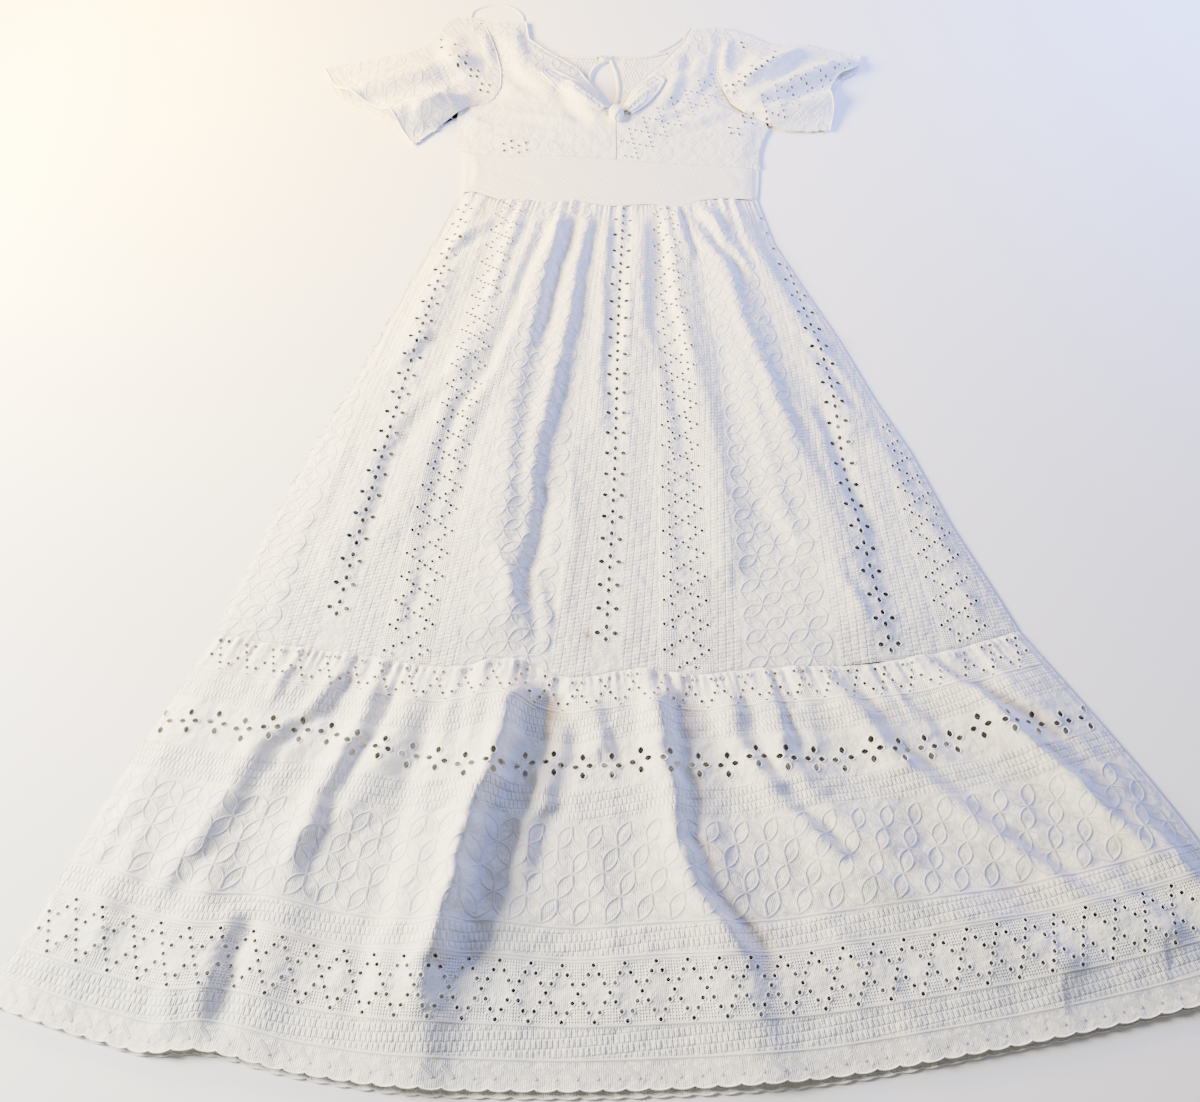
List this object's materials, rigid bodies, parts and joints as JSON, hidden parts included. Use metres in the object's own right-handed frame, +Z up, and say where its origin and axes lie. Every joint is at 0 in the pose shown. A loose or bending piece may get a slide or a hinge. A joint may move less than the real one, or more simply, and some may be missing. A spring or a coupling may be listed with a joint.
{
  "type": "maxi dress",
  "caption": "Maxi dress laid flat on its back: eyelet-embroidered cotton with short flutter sleeves, tied V neck, back keyhole, plain waistband, gathered skirt and scalloped gathered ruffle.",
  "frame": {"origin": "middle of the laid-out dress on the floor it lies on", "axes": "+Y from the hem to the neck, +X to the picture's right across the dress, +Z up from the floor through the back to the front"},
  "size_m": [1.057, 1.337, 0.0279],
  "materials": {
    "eyelet_cotton": "matte ivory cotton jersey with raised embroidery and cut eyelets",
    "plain_cotton": "matte ivory plain jersey",
    "trim_cotton": "matte ivory binding and narrow tape",
    "button_shell": "cream polished"
  },
  "bodies": {
    "root": {"back_bodice": "eyelet_cotton", "back_waistband": "plain_cotton", "back_skirt": "eyelet_cotton", "back_ruffle": "eyelet_cotton", "front_bodice_left": "eyelet_cotton", "front_bodice_right": "eyelet_cotton", "front_waistband": "plain_cotton", "front_skirt": "eyelet_cotton", "front_ruffle": "eyelet_cotton", "sleeve_left_front": "eyelet_cotton", "sleeve_left_back": "eyelet_cotton", "sleeve_right_front": "eyelet_cotton", "sleeve_right_back": "eyelet_cotton", "center_knot": "eyelet_cotton", "tie_end_left": "eyelet_cotton", "tie_end_right": "eyelet_cotton", "back_neck_binding_left": "trim_cotton", "back_neck_binding_right": "trim_cotton", "keyhole_binding": "trim_cotton", "neck_button_loop": "trim_cotton", "hanger_loop_left": "trim_cotton", "hanger_loop_right": "trim_cotton", "neck_button": "button_shell"}
  },
  "joints": []
}
